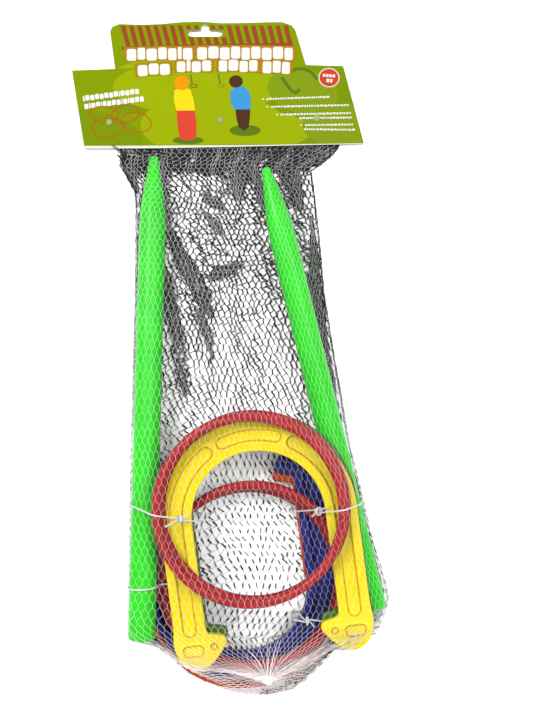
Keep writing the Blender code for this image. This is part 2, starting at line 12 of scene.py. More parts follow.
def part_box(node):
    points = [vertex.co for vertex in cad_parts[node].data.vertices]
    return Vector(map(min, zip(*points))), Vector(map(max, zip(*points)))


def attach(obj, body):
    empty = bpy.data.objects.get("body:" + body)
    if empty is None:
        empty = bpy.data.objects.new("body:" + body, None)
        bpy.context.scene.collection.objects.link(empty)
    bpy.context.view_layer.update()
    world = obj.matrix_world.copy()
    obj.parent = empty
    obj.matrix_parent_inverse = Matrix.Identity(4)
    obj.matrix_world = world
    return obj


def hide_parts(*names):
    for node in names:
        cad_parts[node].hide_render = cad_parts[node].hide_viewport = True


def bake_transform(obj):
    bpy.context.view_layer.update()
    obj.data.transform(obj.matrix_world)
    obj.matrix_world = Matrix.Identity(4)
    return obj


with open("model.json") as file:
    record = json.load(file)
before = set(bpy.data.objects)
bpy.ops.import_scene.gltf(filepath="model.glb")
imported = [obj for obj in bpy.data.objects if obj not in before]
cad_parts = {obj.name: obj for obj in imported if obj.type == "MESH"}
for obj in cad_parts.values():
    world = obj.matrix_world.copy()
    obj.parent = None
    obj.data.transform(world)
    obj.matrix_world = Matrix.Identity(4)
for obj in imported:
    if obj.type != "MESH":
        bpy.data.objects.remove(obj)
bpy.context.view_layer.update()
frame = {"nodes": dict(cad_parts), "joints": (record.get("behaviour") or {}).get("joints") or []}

MM = 0.001
nodes = frame["nodes"]
joints = {j["name"]: j for j in frame["joints"]}


# ---- materials

def set_inputs(node, values):
    for name, value in values.items():
        node.inputs[name].default_value = value


def add(tree, kind, values, sources):
    """A new node with its input values and the sockets that feed it."""
    node = tree.nodes.new("ShaderNode" + kind)
    set_inputs(node, values)
    for name, socket in sources.items():
        tree.links.new(socket, node.inputs[name])
    return node


def place_on(tree):
    """The object's own coordinates, which move with it."""
    return add(tree, "TexCoord", {}, {}).outputs["Object"]


def noise(tree, scale, detail, roughness=0.5):
    values = {"Scale": scale, "Detail": detail, "Roughness": roughness}
    return add(tree, "TexNoise", values, {"Vector": place_on(tree)}).outputs["Fac"]


def ramp(tree, source, low, high, start=0.35, end=0.65):
    node = add(tree, "ValToRGB", {}, {"Fac": source})
    for element, position, colour in zip(node.color_ramp.elements, (start, end), (low, high)):
        element.position = position
        element.color = colour
    return node.outputs["Color"]


def bump(tree, shader, source, strength, distance):
    node = add(tree, "Bump", {"Strength": strength, "Distance": distance}, {"Height": source})
    tree.links.new(node.outputs["Normal"], shader.inputs["Normal"])


def shade(colour, factor):
    return (*[min(1, c * factor) for c in colour], 1)


def mottled(name, grain, low, high, values, *stops):
    """A material whose colour wanders between two tones. `grain` is the noise, `stops` where they lie."""
    mat = bpy.data.materials.new(name)
    mat.use_nodes = True
    tree = mat.node_tree
    shader = tree.nodes["Principled BSDF"]
    set_inputs(shader, values)
    tone = ramp(tree, noise(tree, *grain), low, high, *stops)
    tree.links.new(tone, shader.inputs["Base Color"])
    return mat, tree, shader, tone


def plastic(name, colour, roughness):
    """Injection-moulded plastic: slight flow mottling, fine skin texture, scuffed gloss."""
    mat, tree, shader, _ = mottled(name, (45, 4), shade(colour, 0.92), shade(colour, 1.08), {
        "Coat Weight": 0.03, "Specular IOR Level": 0.13, "Coat Roughness": 0.25})
    grey = (roughness,) * 3
    gloss = ramp(tree, noise(tree, 160, 6, 0.7), shade(grey, 0.8), shade(grey, 1.35))
    tree.links.new(gloss, shader.inputs["Roughness"])
    bump(tree, shader, noise(tree, 900, 3, 0.6), 0.12, 0.0002)
    return mat


# Along Y in metres: where the net's yarn starts to look whiter, and where it is fully so.
KNOT_TONE = {"From Min": -0.178, "From Max": -0.200}


def yarn(name, colour, spread, at_knot=None):
    """Fine plied filament: streaky, fuzzy, with a soft sheen; blended to a lighter tone along Y towards the
    knot end.
    """
    mat, tree, shader, tone = mottled(
        name, (2600, 4, 0.7), shade(colour, 1 - spread), shade(colour, 1 + spread), {
            "Roughness": 0.6, "Specular IOR Level": 0.25, "Sheen Weight": 0.08, "Sheen Roughness": 0.4})
    if at_knot is not None:
        along = add(tree, "SeparateXYZ", {}, {"Vector": place_on(tree)}).outputs["Y"]
        near = add(tree, "MapRange", KNOT_TONE, {"Value": along}).outputs["Result"]
        mixed = add(tree, "MixRGB", {"Color2": shade(at_knot, 1)}, {"Fac": near, "Color1": tone})
        tree.links.new(mixed.outputs["Color"], shader.inputs["Base Color"])
    bump(tree, shader, noise(tree, 3800, 2), 0.5, 0.0002)
    return mat


def ink(name, colour, roughness):
    """Printed ink on coated board: tiny dot grain and a soft varnish."""
    mat, tree, shader, _ = mottled(name, (1500, 5, 0.8), shade(colour, 0.9), shade(colour, 1.1),
                                   {"Roughness": roughness, "Specular IOR Level": 0}, 0.3, 0.7)
    bump(tree, shader, noise(tree, 700, 4), 0.12, 0.0003)
    return mat


def board(name):
    """Uncoated side and cut edges of the card: cream pulp with fibres."""
    mat, tree, shader, _ = mottled(name, (900, 8, 0.75), (0.33, 0.32, 0.27, 1), (0.42, 0.41, 0.36, 1),
                                   {"Roughness": 0.8})
    bump(tree, shader, noise(tree, 1400, 6), 0.3, 0.0004)
    return mat


# ---- mesh helpers

def in_scene(name, data, location=(0, 0, 0)):
    obj = bpy.data.objects.new(name, data)
    obj.location = location
    bpy.context.scene.collection.objects.link(obj)
    return obj


def finished(name, mesh, mats, smooth=True):
    """An object from a mesh, with its materials and shading."""
    for mat in mats:
        mesh.materials.append(mat)
    mesh.polygons.foreach_set("use_smooth", [smooth] * len(mesh.polygons))
    return in_scene(name, mesh)


def mesh_object(name, verts, faces, mats, smooth=True):
    mesh = bpy.data.meshes.new(name)
    mesh.from_pydata([tuple(v) for v in verts], [], [tuple(f) for f in faces])
    mesh.update()
    return finished(name, mesh, mats, smooth)


def bmesh_object(name, bm, mats, smooth=True, hard_above=180):
    """An object from a bmesh; edges that turn more than `hard_above` degrees stay hard."""
    bmesh.ops.recalc_face_normals(bm, faces=bm.faces)
    bm.normal_update()
    for edge in bm.edges:
        if edge.calc_face_angle(0) > math.radians(hard_above):
            edge.smooth = False
    mesh = bpy.data.meshes.new(name)
    bm.to_mesh(mesh)
    bm.free()
    return finished(name, mesh, mats, smooth)


def strands(name, parts, mat, sides=4):
    """One mesh of straight closed rods from (starts, ends, radii); millimetres in, metres out."""
    starts, ends, radii = (np.concatenate(arrays) for arrays in zip(*parts))
    along = ends - starts
    length = np.linalg.norm(along, axis=1)
    keep = length > 0.15
    starts, ends, radii, along, length = (a[keep] for a in (starts, ends, radii, along, length))
    along = along / length[:, None]
    helper = np.where(np.abs(along[:, 2:3]) < 0.9, [[0, 0, 1]], [[1, 0, 0]])
    across = np.cross(along, helper)
    across /= np.linalg.norm(across, axis=1)[:, None]
    other = np.cross(along, across)
    turn = (2 * np.pi * (np.arange(sides) + 0.5) / sides)[None, :, None]
    ring = across[:, None, :] * np.cos(turn) + other[:, None, :] * np.sin(turn)
    ring = ring * radii[:, None, None]
    verts = np.concatenate([starts[:, None, :] + ring, ends[:, None, :] + ring], axis=1).reshape(-1, 3) * MM
    base = np.arange(len(starts))[:, None] * 2 * sides
    corners = [(k, (k + 1) % sides) for k in range(sides)]
    walls = np.concatenate([base + np.array([[k, j, sides + j, sides + k]]) for k, j in corners])
    lids = [base + np.array([order]) for order in (range(sides - 1, -1, -1), range(sides, 2 * sides))]
    loops = np.concatenate([faces.reshape(-1) for faces in (walls, *lids)]).astype(np.int32)
    counts = np.repeat([4, sides], [len(walls), 2 * len(starts)]).astype(np.int32)
    mesh = bpy.data.meshes.new(name)
    mesh.vertices.add(len(verts))
    mesh.vertices.foreach_set("co", verts.astype(np.float32).reshape(-1))
    mesh.loops.add(len(loops))
    mesh.loops.foreach_set("vertex_index", loops)
    mesh.polygons.add(len(counts))
    mesh.polygons.foreach_set("loop_start", np.concatenate([[0], np.cumsum(counts)[:-1]]).astype(np.int32))
    mesh.update(calc_edges=True)
    mesh.validate()
    return finished(name, mesh, [mat])


def tube(bm, path, radius, sides, taper):
    """A round bar swept along a path, closed at both ends; its radius ends at `taper` of its start."""
    points = [Vector(p) for p in path]
    sections = []
    normal = Vector((0.3, 0.9, 0.2))
    for i, point in enumerate(points):
        ahead = points[min(i + 1, len(points) - 1)] - point
        behind = point - points[max(i - 1, 0)]
        tangent = ahead.normalized() + behind.normalized()
        tangent.normalize()
        normal = normal - tangent * normal.dot(tangent)
        normal.normalize()
        across = tangent.cross(normal)
        width = radius * (1 + (taper - 1) * i / (len(points) - 1))
        sections.append([bm.verts.new(point + (normal * math.cos(a) + across * math.sin(a)) * width)
                         for a in (2 * math.pi * k / sides for k in range(sides))])
    for low, high in zip(sections, sections[1:]):
        bridge(bm, low, high)
    bm.faces.new(sections[0])
    bm.faces.new(sections[-1])


def loop_of(bm, points, z):
    return [bm.verts.new((x, y, z)) for x, y in points]


def bridge(bm, low, high, index=0):
    """Faces between two closed loops of as many vertices."""
    for i in range(len(low)):
        j = (i + 1) % len(low)
        bm.faces.new((low[i], low[j], high[j], high[i])).material_index = index


def cap(bm, loops):
    """Fill the outer loop less the inner ones, all in one plane."""
    verts = [v for loop in loops for v in loop]
    for a, b, c in geometry.tessellate_polygon([[v.co for v in loop] for loop in loops]):
        if len({a, b, c}) == 3:
            bm.faces.new((verts[a], verts[b], verts[c]))


def middle_of(node):
    """The middle of a node's box, in millimetres."""
    low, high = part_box(node)
    return (low + high) / 2 / MM


# ---- rings

RING_STEPS, RING_SIDES = 144, 22


def build_ring(node, mat):
    """Smooth moulded tube with a slight parting line and the small swelling of its weld."""
    low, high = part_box(node)
    centre = (low + high) / 2
    tube_r = (high.z - low.z) / 2
    major = (high.x - low.x) / 2 - tube_r
    seam = 1.9 if "upper" in node else 0.4
    verts = []
    for i in range(RING_STEPS):
        turn = 2 * math.pi * i / RING_STEPS
        swell = 1 + 0.018 * math.exp(-((turn - seam) / 0.05) ** 2) + 0.004 * math.sin(3 * turn + seam)
        for k in range(RING_SIDES):
            a = 2 * math.pi * k / RING_SIDES
            parting = 0.012 if k in (0, RING_SIDES // 2) else 0
            r = min(tube_r * (0.985 * swell + parting), tube_r)
            radius = major + r * math.cos(a)
            verts.append((centre.x + radius * math.cos(turn), centre.y + radius * math.sin(turn),
                          centre.z + r * math.sin(a)))
    faces = []
    for i in range(RING_STEPS):
        here, there = i * RING_SIDES, (i + 1) % RING_STEPS * RING_SIDES
        for k in range(RING_SIDES):
            j = (k + 1) % RING_SIDES
            faces.append((here + k, there + k, there + j, here + j))
    ring = mesh_object(node + "_tube", verts, faces, [mat])
    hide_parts(node)
    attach(ring, node)


# ---- stakes

# Distance from the tip and radius there; then distance from the thick end and radius.
STAKE_RADIUS = 9
STAKE_TIP = [(0, 0.9), (0.25, 2), (0.8, 2.75), (1.8, 3.1), (6, 3.75), (20.5, 6.3), (34, 8.05),
             (41, 8.7), (48, 8.95), (57, STAKE_RADIUS)]
STAKE_END = [(3.2, STAKE_RADIUS), (2.2, 8.75), (1.4, 8.25), (0.8, 7.4), (0.4, 6.6), (0, 4.7)]
STAKE_SIDES = 56


def stake_profile(length):
    start = STAKE_TIP[-1][0]
    straight = length - (start + STAKE_END[0][0])
    middle = [(start + straight * i / 10, STAKE_RADIUS) for i in range(1, 10)]
    return STAKE_TIP + middle + [(length - d, r) for d, r in STAKE_END]


def build_stake(node, mat):
    """Turned bar with a blunt tip, a rounded thick end and a faint parting line on both sides."""
    joint = joints[node + "_roll"]
    axis = Vector(joint["axis"]).normalized()
    low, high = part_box(node)
    lean = math.sqrt(max(0, 1 - axis.y ** 2))
    span = (high - low).y - 2 * STAKE_RADIUS * MM * lean * 0.6
    half = span / abs(axis.y) / 2
    tip = Vector(joint["pos_m"]) + axis * half
    profile = stake_profile(2 * half / MM)
    turn = (-axis).to_track_quat("Z", "Y").to_matrix()
    sides = STAKE_SIDES
    verts, faces = [], []
    for along, radius in profile:
        for k in range(sides):
            a = 2 * math.pi * k / sides
            r = radius * (1 - 0.012 * math.exp(-(math.sin(a) / 0.03) ** 2)) * 0.998
            verts.append(tip + turn @ (Vector((r * math.cos(a), r * math.sin(a), along)) * MM))
    for here in range(0, (len(profile) - 1) * sides, sides):
        for k in range(sides):
            j = (k + 1) % sides
            faces.append((here + k, here + j, here + sides + j, here + sides + k))
    faces.append(range(sides - 1, -1, -1))
    faces.append(range((len(profile) - 1) * sides, len(profile) * sides))
    stake = mesh_object(node + "_bar", verts, faces, [mat])
    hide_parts(node)
    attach(stake, node)


# ---- horseshoes

OUTER, INNER, LEG = 65, 44, 94
# How far each edge step of the moulding is inset, and its height above the flat face.
SHOE_EDGE = [(0.9, 0), (0.35, 0.15), (0.08, 0.5), (0, 1)]
# From outside a pocket to its floor: inset, and height over the top face. The first rows are the bead; the
# walls after it take the painted-shade material.
POCKET_STEPS = [(-1.6, 0), (-1.2, 0.24), (-0.6, 0.3), (-0.15, 0.12), (0.2, -0.4), (0.6, -1.25), (1, -1.5)]
BEAD_STEPS = 3


def arc(radius, start, end, steps, centre=(0, 0)):
    """Points on a circle between two angles in degrees."""
    angles = np.radians(np.linspace(start, end, steps + 1))
    return [(centre[0] + radius * math.cos(a), centre[1] + radius * math.sin(a)) for a in angles]


def mirrored(points):
    return [(-x, y) for x, y in reversed(points)]


def rounded(points):
    """One pass of corner cutting on an open chain, ends kept."""
    result = [points[0]]
    for a, b in zip(points, points[1:]):
        for share in (0.25, 0.75):
            result.append(tuple((1 - share) * p + share * q for p, q in zip(a, b)))
    return result + [points[-1]]


def inset(points, distance):
    """Move a counter-clockwise loop inward by distance."""
    result = []
    points = [Vector(p) for p in points]
    for last, here, following in zip(points[-1:] + points, points, points[1:] + points[:1]):
        before, after = (here - last).normalized(), (following - here).normalized()
        normal = Vector((-before.y - after.y, before.x + after.x)).normalized()
        spread = max(0.6, normal.dot(Vector((-before.y, before.x))))
        result.append(tuple(here + normal * (distance / spread)))
    return result


def shoe_outline():
    foot = rounded([
        (OUTER, -20), (OUTER, -45), (OUTER, -66), (OUTER + 0.9, -72), (OUTER + 1, -78),
        (OUTER - 0.5, -84), (OUTER - 3.5, -88.8), (OUTER - 8, -92.3), (OUTER - 13, -LEG),
        (OUTER - 18, -93.5), (INNER - 1, -91.4), (INNER - 6, -86.8), (INNER - 10.2, -81.8),
        (INNER - 12.6, -78.4), (INNER - 12.9, -75.6), (INNER - 11.4, -73.3), (INNER - 8.5, -72.3),
        (INNER - 3, -71.4), (INNER - 0.8, -70.4), (INNER, -68), (INNER, -45), (INNER, -20)])
    outline = arc(OUTER, 180, 0, 72) + foot + arc(INNER, 0, 180, 60) + mirrored(foot)
    return outline[::-1]


def shoe_pockets():
    """The crown's slot, then each side's long channel, foot recess and round pip."""
    radius = (OUTER + INNER) / 2

    def round_end(angle, start):
        return arc(half, start, start + 180, 8, arc(radius, angle, angle, 0)[0])[1:-1]

    half, low, high = 4, 71, 109
    crown = arc(radius + half, low, high, 16) + round_end(high, high)
    crown += arc(radius - half, high, low, 16) + round_end(low, low + 180)
    half, high, knee, end = 4.6, 58, -26, -67.6
    leg = [(radius + half, end), (radius + half, knee)]
    leg += arc(radius + half, 0, high, 22) + round_end(high, high) + arc(radius - half, high, 0, 22)
    leg += [(radius - half, knee), (radius - half, end)]
    leg += arc(half, 180, 360, 8, (radius, end))[1:-1]
    foot = []
    for x, y, start in ((50, -82.2, 180), (57.2, -82.2, 270), (57.6, -80.6, 0), (49.6, -80.6, 90)):
        foot += arc(3.1, start, start + 90, 5, (x, y))
    pip = arc(2.5, 0, 360, 20, (39.9, -79.8))[:-1]
    right = [leg, foot, pip]
    return [crown] + right + [mirrored(loop) for loop in right]


def build_shoe(node, turn, name, colour):
    """Moulded horseshoe: rounded edges, sunk channels with a raised bead round each, and painted shade on
    the channel walls: a darker, more orange copy of the plastic.
    """
    low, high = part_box(node)
    thick = (high.z - low.z) / MM
    outline = shoe_outline()
    bm = bmesh.new()
    edges = SHOE_EDGE + [(d, thick - z) for d, z in reversed(SHOE_EDGE)]
    loops = [loop_of(bm, inset(outline, d), z) for d, z in edges]
    for a, b in zip(loops, loops[1:]):
        bridge(bm, a, b)
    mouths = []
    for pocket in shoe_pockets():
        chain = [loop_of(bm, inset(pocket, d), thick + z) for d, z in POCKET_STEPS]
        for step, (a, b) in enumerate(zip(chain, chain[1:])):
            # Faces from the bead's inner edge down the pocket walls take the second material, the painted
            # shade.
            bridge(bm, a, b, 1 if step >= BEAD_STEPS else 0)
        cap(bm, [chain[-1]])
        mouths.append(chain[0])
    cap(bm, [loops[0]])
    cap(bm, [loops[-1]] + mouths)
    bmesh.ops.transform(bm, matrix=Matrix.Rotation(math.radians(turn), 4, "Z"), verts=bm.verts)
    xs = [v.co.x for v in bm.verts]
    ys = [v.co.y for v in bm.verts]
    centre = middle_of(node)
    shift = Vector((centre.x - (min(xs) + max(xs)) / 2, centre.y - (min(ys) + max(ys)) / 2, low.z / MM))
    bmesh.ops.transform(bm, matrix=Matrix.Scale(MM, 4) @ Matrix.Translation(shift), verts=bm.verts)
    # Painted shade: the pocket walls get a darker, more orange copy of the plastic, standing for the shade
    # in the sunk channels.
    painted_crease_shade = (colour[0] * 0.85, colour[1] * 0.62, colour[2] * 0.6)
    mats = [plastic(name, colour, 0.35), plastic(name + " crease", painted_crease_shade, 0.5)]
    shoe = bmesh_object(node + "_moulding", bm, mats, hard_above=38)
    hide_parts(node)
    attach(shoe, node)


# ---- printed card

CARD_TOP = 4.10
SLOT_BAR = (-28.4, -4.7, 221.5, 225.8)
PRINT_STEP = 0.03
# The front leaf's printed face, a little inside the card's cut edge.
CARD_OUTLINE = [
    (-99.6, 146.4), (-75, 146.5), (-51, 146.6), (-25, 146.8), (-1, 146.9), (25, 147.1),
    (49, 147.6), (70, 147.9), (92.4, 148.3), (85.3, 175), (78.2, 201.2), (52.6, 201.9), (49.1, 213.5),
    (45.7, 224.8), (44.5, 227.3), (42.8, 229.1), (36.2, 231.4), (20.8, 231.1), (7.4, 230.7), (-6.2, 230.6),
    (-20.1, 231.7), (-33.2, 231.3), (-47.6, 229.9), (-61.2, 229.5), (-75.6, 230), (-80.2, 228.1),
    (-81.7, 224.8), (-80, 212), (-78.3, 199.2), (-107.9, 198.1), (-103.8, 172.3)]
LOWER_PANEL = [(-99.6, 146.5), (92.3, 148.4), (78.3, 201), (-107.7, 198.2)]
UPPER_PANEL = [(-78.2, 199.4), (52.5, 201.5), (45.7, 224.6), (42, 229), (-76, 229.3), (-81.6, 224.6)]
INKS = {
    "field": (0.108, 0.148, 0.0015), "leaf": (0.092, 0.135, 0.0020), "lime": (0.152, 0.192, 0.0018),
    "grass": (0.105, 0.150, 0.0050), "shadow": (0.050, 0.090, 0.0060), "fence": (0.150, 0.032, 0.0110),
    "gold": (0.190, 0.105, 0.0050), "white": (0.400, 0.390, 0.370), "cream": (0.350, 0.320, 0.240),
    "badge": (0.290, 0.026, 0.0150), "ringprint": (0.260, 0.048, 0.0070), "red": (0.330, 0.030, 0.0180),
    "yellow": (0.400, 0.320, 0.0060), "orange": (0.390, 0.145, 0.0030), "brown": (0.040, 0.016, 0.0090),
    "blueprint": (0.025, 0.145, 0.3000),
}


def slot_loop():
    """The hanging slot: a level bar with a round notch above its middle."""
    x0, x1, y0, y1 = SLOT_BAR
    half = (y1 - y0) / 2
    loop = arc(half, 90, 270, 8, (x0 + half, y0 + half))
    loop += arc(half, -90, 90, 8, (x1 - half, y0 + half))
    loop += [(-14, y1)]
    loop += arc(2.7, 0, 180, 10, (-16.7, 227.3))
    loop += [(-19.4, y1)]
    return loop


def oval(x, y, rx, ry, tilt=0, steps=36):
    c, s = math.cos(math.radians(tilt)), math.sin(math.radians(tilt))
    points = []
    for k in range(steps):
        a = 2 * math.pi * k / steps
        u, v = rx * math.cos(a), ry * math.sin(a)
        points.append((x + c * u - s * v, y + s * u + c * v))
    return points


def band(points, width):
    """A line of even width through open points."""
    left, right = [], []
    for i, p in enumerate(points):
        d = Vector(points[min(i + 1, len(points) - 1)]) - Vector(points[max(i - 1, 0)])
        d.normalize()
        n = Vector((-d.y, d.x)) * width / 2
        left.append(tuple(Vector(p) + n))
        right.append(tuple(Vector(p) - n))
    return right + left[::-1]


def clip(points, region):
    """Cut a convex-ish shape to a convex region (both counter-clockwise)."""
    result = list(points)
    for i in range(len(region)):
        a, b = Vector(region[i]), Vector(region[(i + 1) % len(region)])
        sides = [(b.x - a.x) * (p[1] - a.y) - (b.y - a.y) * (p[0] - a.x) for p in result]
        out = []
        for j, q in enumerate(result):
            p, sp, sq = result[j - 1], sides[j - 1], sides[j]
            if (sp >= 0) != (sq >= 0):
                t = sp / (sp - sq)
                out.append((p[0] + (q[0] - p[0]) * t, p[1] + (q[1] - p[1]) * t))
            if sq >= 0:
                out.append(q)
        result = out
        if len(result) < 3:
            return []
    return result


def blocks(start, end, height, widths, gap, tilt=0):
    """A row of plain rounded blocks from start to end; widths are shares."""
    a, d = Vector(start), Vector(end) - Vector(start)
    free = d.length - gap * (len(widths) - 1)
    d.normalize()
    n = Vector((-d.y, d.x))
    shapes, s = [], 0
    for i, w in enumerate(widths):
        size = free * w / sum(widths)
        wob = tilt * (1 if i % 2 else -1)
        corner = min(size, height) * 0.22
        c = a + d * s + d * size / 2 + n * (height / 2 + wob)
        shape = []
        for sx, sy, first in ((1, 1, 0), (-1, 1, 90), (-1, -1, 180), (1, -1, 270)):
            for t in (0, 30, 60, 90):
                r = math.radians(first + t)
                u = sx * (size / 2 - corner) + corner * math.cos(r)
                v = sy * (height / 2 - corner) + corner * math.sin(r)
                shape.append(tuple(c + d * u + n * v))
        shapes.append(shape)
        s += size + gap
    return shapes


def fence_gaps(low, top):
    """The stretches of one fence slat that the hang slot leaves, as shares of its height."""
    def at(y):
        return (y - low.y) / (top.y - low.y)

    x = low.lerp(top, at(223.6)).x
    if not SLOT_BAR[0] - 1.6 < x < SLOT_BAR[1] + 1.6:
        return [(0, 1)]
    if -21.2 < x < -12.2:
        return [(0, at(221))]
    return [(0, at(221)), (at(226.3), 1)]


def clipped(name, layer, panel, *shapes):
    """What one panel of the card keeps of the shapes, as printed patches."""
    kept = [clip(shape, panel) for shape in shapes]
    return [(name, layer, shape) for shape in kept if shape]


def text(layer, *rows):
    """Rows of plain white blocks in place of words."""
    return [("white", layer, shape) for row in rows for shape in blocks(*row)]


def meadow():
    """Patches of grass behind everything else."""
    return (clipped("leaf", 1, LOWER_PANEL, oval(-67.1, 173.8, 19.6, 5.3, -3),
                    oval(-112, 150, 52, 22), oval(62, 176, 50, 30, -8))
            + clipped("lime", 2, LOWER_PANEL, oval(-11, 160.5, 50, 22),
                      oval(-22, 187, 58, 19), oval(5, 157, 52, 15))
            + clipped("lime", 2, UPPER_PANEL, oval(-24, 196, 55, 12))
            + clipped("grass", 3, LOWER_PANEL, oval(50.6, 184, 24.6, 15.5, -12),
                      oval(80, 160, 30, 14)))


def fence():
    """Upright slats with the hanging slot left open, and one rail across them."""
    half = 1.55
    art = []
    for i in range(21):
        top = Vector((-73, 229)).lerp(Vector((38.6, 229.6)), i / 20)
        low = Vector((-68.8, 213.2)).lerp(Vector((42, 215.8)), i / 20)
        for y0, y1 in fence_gaps(low, top):
            a, b = low.lerp(top, y0), low.lerp(top, y1)
            slat = [(a.x - half, a.y), (a.x + half, a.y), (b.x + half, b.y), (b.x - half, b.y)]
            art += clipped("fence", 4, UPPER_PANEL, slat)
    rail = band([(-73.9, 213.4), (-40, 214.4), (-5, 215.3), (43.6, 216.2)], 2.1)
    return art + clipped("fence", 5, UPPER_PANEL, rail)


# Each row of the title: start, end, height, then the blocks' shares of its length.
TITLE = [((-70.2, 205), (-25.2, 205.8), 8.2, (1, 0.8, 1.1, 0.9, 0.9, 0.4, 1)),
         ((-22, 206), (43.6, 205.6), 8.4, (1, 1.05, 1, 0.95, 0.85, 0.95, 1, 1.05, 0.85)),
         ((-62.6, 194.4), (-40.6, 195.6), 7.6, (1, 1, 1)),
         ((-36, 197.3), (-12.4, 197.3), 7.4, (1, 0.45, 1.05, 1.05)),
         ((-7.2, 197.8), (19.3, 197.2), 7.6, (0.9, 1.05, 0.9, 0.9)),
         ((22.8, 196.6), (41.5, 196), 8.2, (1, 0.9, 0.9))]


def title():
    """White blocks on gold bands that stand out round them."""
    rim = 1.9
    art = []
    for start, end, height, _ in TITLE:
        a, b = Vector(start), Vector(end)
        d = (b - a).normalized()
        n = Vector((-d.y, d.x))
        middle = n * height / 2
        line = [a + middle - d * rim, a.lerp(b, 0.5) + middle + n * 0.5, b + middle + d * rim]
        art.append(("gold", 6, band(line, height + rim)))
    return art + text(7, *[(*row, 0.9, 0.35) for row in TITLE])


def badge():
    art = [("cream", 6, oval(68.5, 193.2, 7.4, 6.7, -8)), ("badge", 7, oval(68.5, 193.2, 6.5, 5.9, -8))]
    return art + text(8, ((64.2, 193.9), (72.6, 193.3), 2, (1, 1, 1, 1), 0.5),
                      ((66.6, 190.1), (70.8, 189.8), 2.4, (1, 0.8), 0.5))


def caption():
    """Two slanting rows of blocks over four printed rings that cross."""
    art = text(6, ((-100.2, 177), (-61.8, 182.2), 3.6,
                   (0.4, 1, 1, 1, 0.9, 1, 0.9, 1, 0.3, 1, 1, 1, 0.9), 0.5, 0.15),
               ((-99.2, 171.6), (-58.4, 177), 3.6,
                (1, 0.4, 1, 1, 0.3, 0.9, 1, 1, 1, 0.3, 1, 0.4, 1, 1, 1), 0.5, 0.15))
    for x, y, rx, ry, tilt in ((-86.1, 168, 10.2, 5.8, -4), (-83.7, 159, 11, 7.4, 2),
                               (-71.3, 168.4, 9.8, 6.4, 8), (-63.7, 162.6, 10.6, 7, -12)):
        inner = oval(x, y, rx - 0.62, ry - 0.62, tilt, 48)
        art.append(("ringprint", 7, (oval(x, y, rx, ry, tilt, 48), inner)))
    return art


def play():
    """Two small stakes with a ring each, two faint dark strokes, and two plain skittles on shadows."""
    return [
        ("shadow", 5, oval(-28.2, 150.2, 10.6, 2.7)),
        ("shadow", 5, oval(10.9, 157, 10.7, 3.8)),
        ("shadow", 5, band([(-26.5, 195.6), (-25.4, 188.4)], 0.8)),
        ("shadow", 5, band([(-7.5, 196), (-6.2, 188.4)], 0.8)),
        ("fence", 6, (oval(-24.4, 187.6, 2.5, 1.5), oval(-24.4, 187.6, 1.8, 0.9))),
        ("gold", 6, (oval(-5.6, 187.6, 2.5, 1.5), oval(-5.6, 187.6, 1.8, 0.9))),
        ("shadow", 4, band([(35.9, 193.7), (39, 189), (42.8, 184.2), (45.5, 182.8), (48.6, 185.2)], 2.3)),
        ("shadow", 4, band([(42.2, 197.4), (46, 199), (51, 199.4), (56.4, 197), (60.9, 191.6)], 2.1)),
        ("red", 6, [(-36.2, 171.6), (-35.4, 160), (-34, 151.6), (-29, 149.8), (-22.8, 151.6),
                    (-22.4, 160), (-23.6, 171.6)]),
        ("yellow", 7, [(-36.4, 170.6), (-23.4, 170.6), (-24.6, 179), (-26.4, 184.4), (-29.5, 186.4),
                       (-34.6, 186.4), (-37.8, 184.4), (-38, 178)]),
        ("orange", 8, oval(-32.6, 189.6, 5.2, 5)),
        ("brown", 6, [(4.2, 172.2), (5, 165), (6.6, 159), (10.4, 156.6), (13.4, 159.4), (14.2, 166),
                      (14.4, 172.2)]),
        ("blueprint", 7, [(3.2, 171.4), (14.6, 171.4), (14.8, 179), (13.2, 184.8), (9.6, 187.2),
                          (4.4, 187), (0.6, 183.6), (1, 177)]),
        ("brown", 8, oval(4.6, 190.6, 4.7, 4.2)),
    ]


def list_of_points():
    """Six rows of small blocks, four of them with a dot in front."""
    rows = [((25.6, 177.9), (68.8, 179.4)), ((28.8, 172.6), (82.4, 173.8)), ((35.2, 167.2), (83.6, 168.3)),
            ((48.2, 164.8), (84.2, 165.2)), ((52, 160), (85, 160.4)), ((51.4, 157.2), (86.4, 156.8))]
    pattern = (1, 0.7, 1.4, 0.9, 0.4, 1.2, 0.8, 1.5, 0.6, 1.1, 0.9, 0.5)
    art = []
    for r, (start, end) in enumerate(rows):
        count = int((end[0] - start[0]) / 1.75)
        widths = [pattern[(i * 5 + r * 3) % len(pattern)] for i in range(count)]
        art += text(6, (start, end, 1.25, widths, 0.42, 0.08))
    for x, y in ((23.3, 178.5), (26.1, 173.2), (32.8, 167.9), (49.4, 160.7)):
        art.append(("white", 6, oval(x, y, 0.6, 0.6, 0, 12)))
    return art


